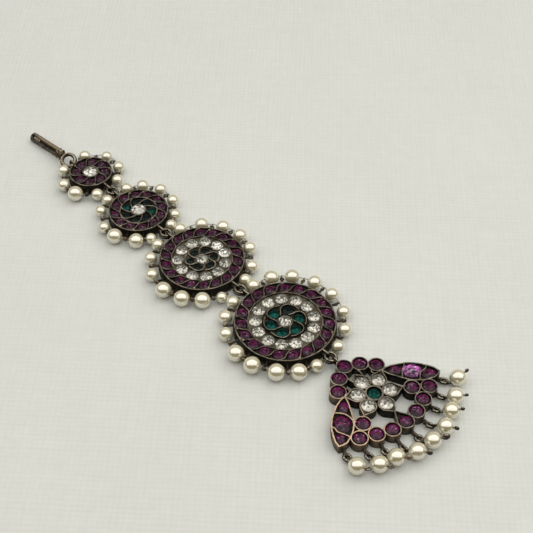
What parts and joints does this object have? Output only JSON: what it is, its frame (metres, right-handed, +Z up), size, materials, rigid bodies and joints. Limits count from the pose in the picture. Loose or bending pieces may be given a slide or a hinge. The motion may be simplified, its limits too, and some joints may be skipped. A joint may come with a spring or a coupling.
{
  "type": "maang tikka",
  "caption": "Forehead jewel: a hair hook, a tapering chain of round stone-set discs hung with pearls, and a fan-shaped openwork pendant with pearl drops, lying flat.",
  "frame": {"origin": "middle of the whole jewel's bounding box, on the surface that it lies on", "axes": "+X along the chain from the hair hook to the pendant's drops, +Z up out of the stones, +Y across, to the wearer's side that is on the left when looking from the hook to the drops"},
  "size_m": [0.1544, 0.0406, 0.0039],
  "materials": {
    "antique_metal": "oxidised dark, worn lighter on the top edges",
    "purple_glass": "foil-backed plum glass, faceted, glossy",
    "green_glass": "foil-backed dark green glass, glossy",
    "clear_glass": "foil-backed colourless faceted glass",
    "pearl": "cream pearl lustre, glossy; its fine wire and pin are antique metal"
  },
  "bodies": {
    "root": {"arm_stones": "purple_glass", "disc_1_case": "antique_metal", "disc_1_centre_stone": "clear_glass", "disc_1_pearls_left": "pearl", "disc_1_pearls_right": "pearl", "disc_1_purple_stones": "purple_glass", "disc_2_case": "antique_metal", "disc_2_centre_stone": "clear_glass", "disc_2_green_stones": "green_glass", "disc_2_pearls_left": "pearl", "disc_2_pearls_right": "pearl", "disc_2_purple_stones": "purple_glass", "disc_3_case": "antique_metal", "disc_3_centre_stone": "clear_glass", "disc_3_clear_stones": "clear_glass", "disc_3_green_stones": "green_glass", "disc_3_pearls_left": "pearl", "disc_3_pearls_right": "pearl", "disc_3_purple_stones": "purple_glass", "disc_4_case": "antique_metal", "disc_4_centre_stone": "clear_glass", "disc_4_clear_stones": "clear_glass", "disc_4_green_stones": "green_glass", "disc_4_pearls_left": "pearl", "disc_4_pearls_right": "pearl", "disc_4_purple_stones": "purple_glass", "drop_pearl_1": "pearl", "drop_pearl_2": "pearl", "drop_pearl_3": "pearl", "drop_pearl_4": "pearl", "drop_pearl_5": "pearl", "drop_pearl_6": "pearl", "drop_pearl_7": "pearl", "drop_pearl_8": "pearl", "drop_pearl_9": "pearl", "drop_ring_1": "antique_metal", "drop_ring_2": "antique_metal", "drop_ring_3": "antique_metal", "drop_ring_4": "antique_metal", "drop_ring_5": "antique_metal", "drop_ring_6": "antique_metal", "drop_ring_7": "antique_metal", "drop_ring_8": "antique_metal", "drop_ring_9": "antique_metal", "hook": "antique_metal", "link_1_2": "antique_metal", "link_2_3": "antique_metal", "link_3_4": "antique_metal", "link_4_pendant": "antique_metal", "pendant_centre_stone": "green_glass", "pendant_frame": "antique_metal", "petal_stone_1": "clear_glass", "petal_stone_2": "clear_glass", "petal_stone_3": "clear_glass", "petal_stone_4": "clear_glass", "petal_stone_5": "clear_glass", "petal_stone_6": "clear_glass", "rim_stones": "purple_glass", "wing_stones_left": "purple_glass", "wing_stones_right": "purple_glass"}
  },
  "joints": []
}
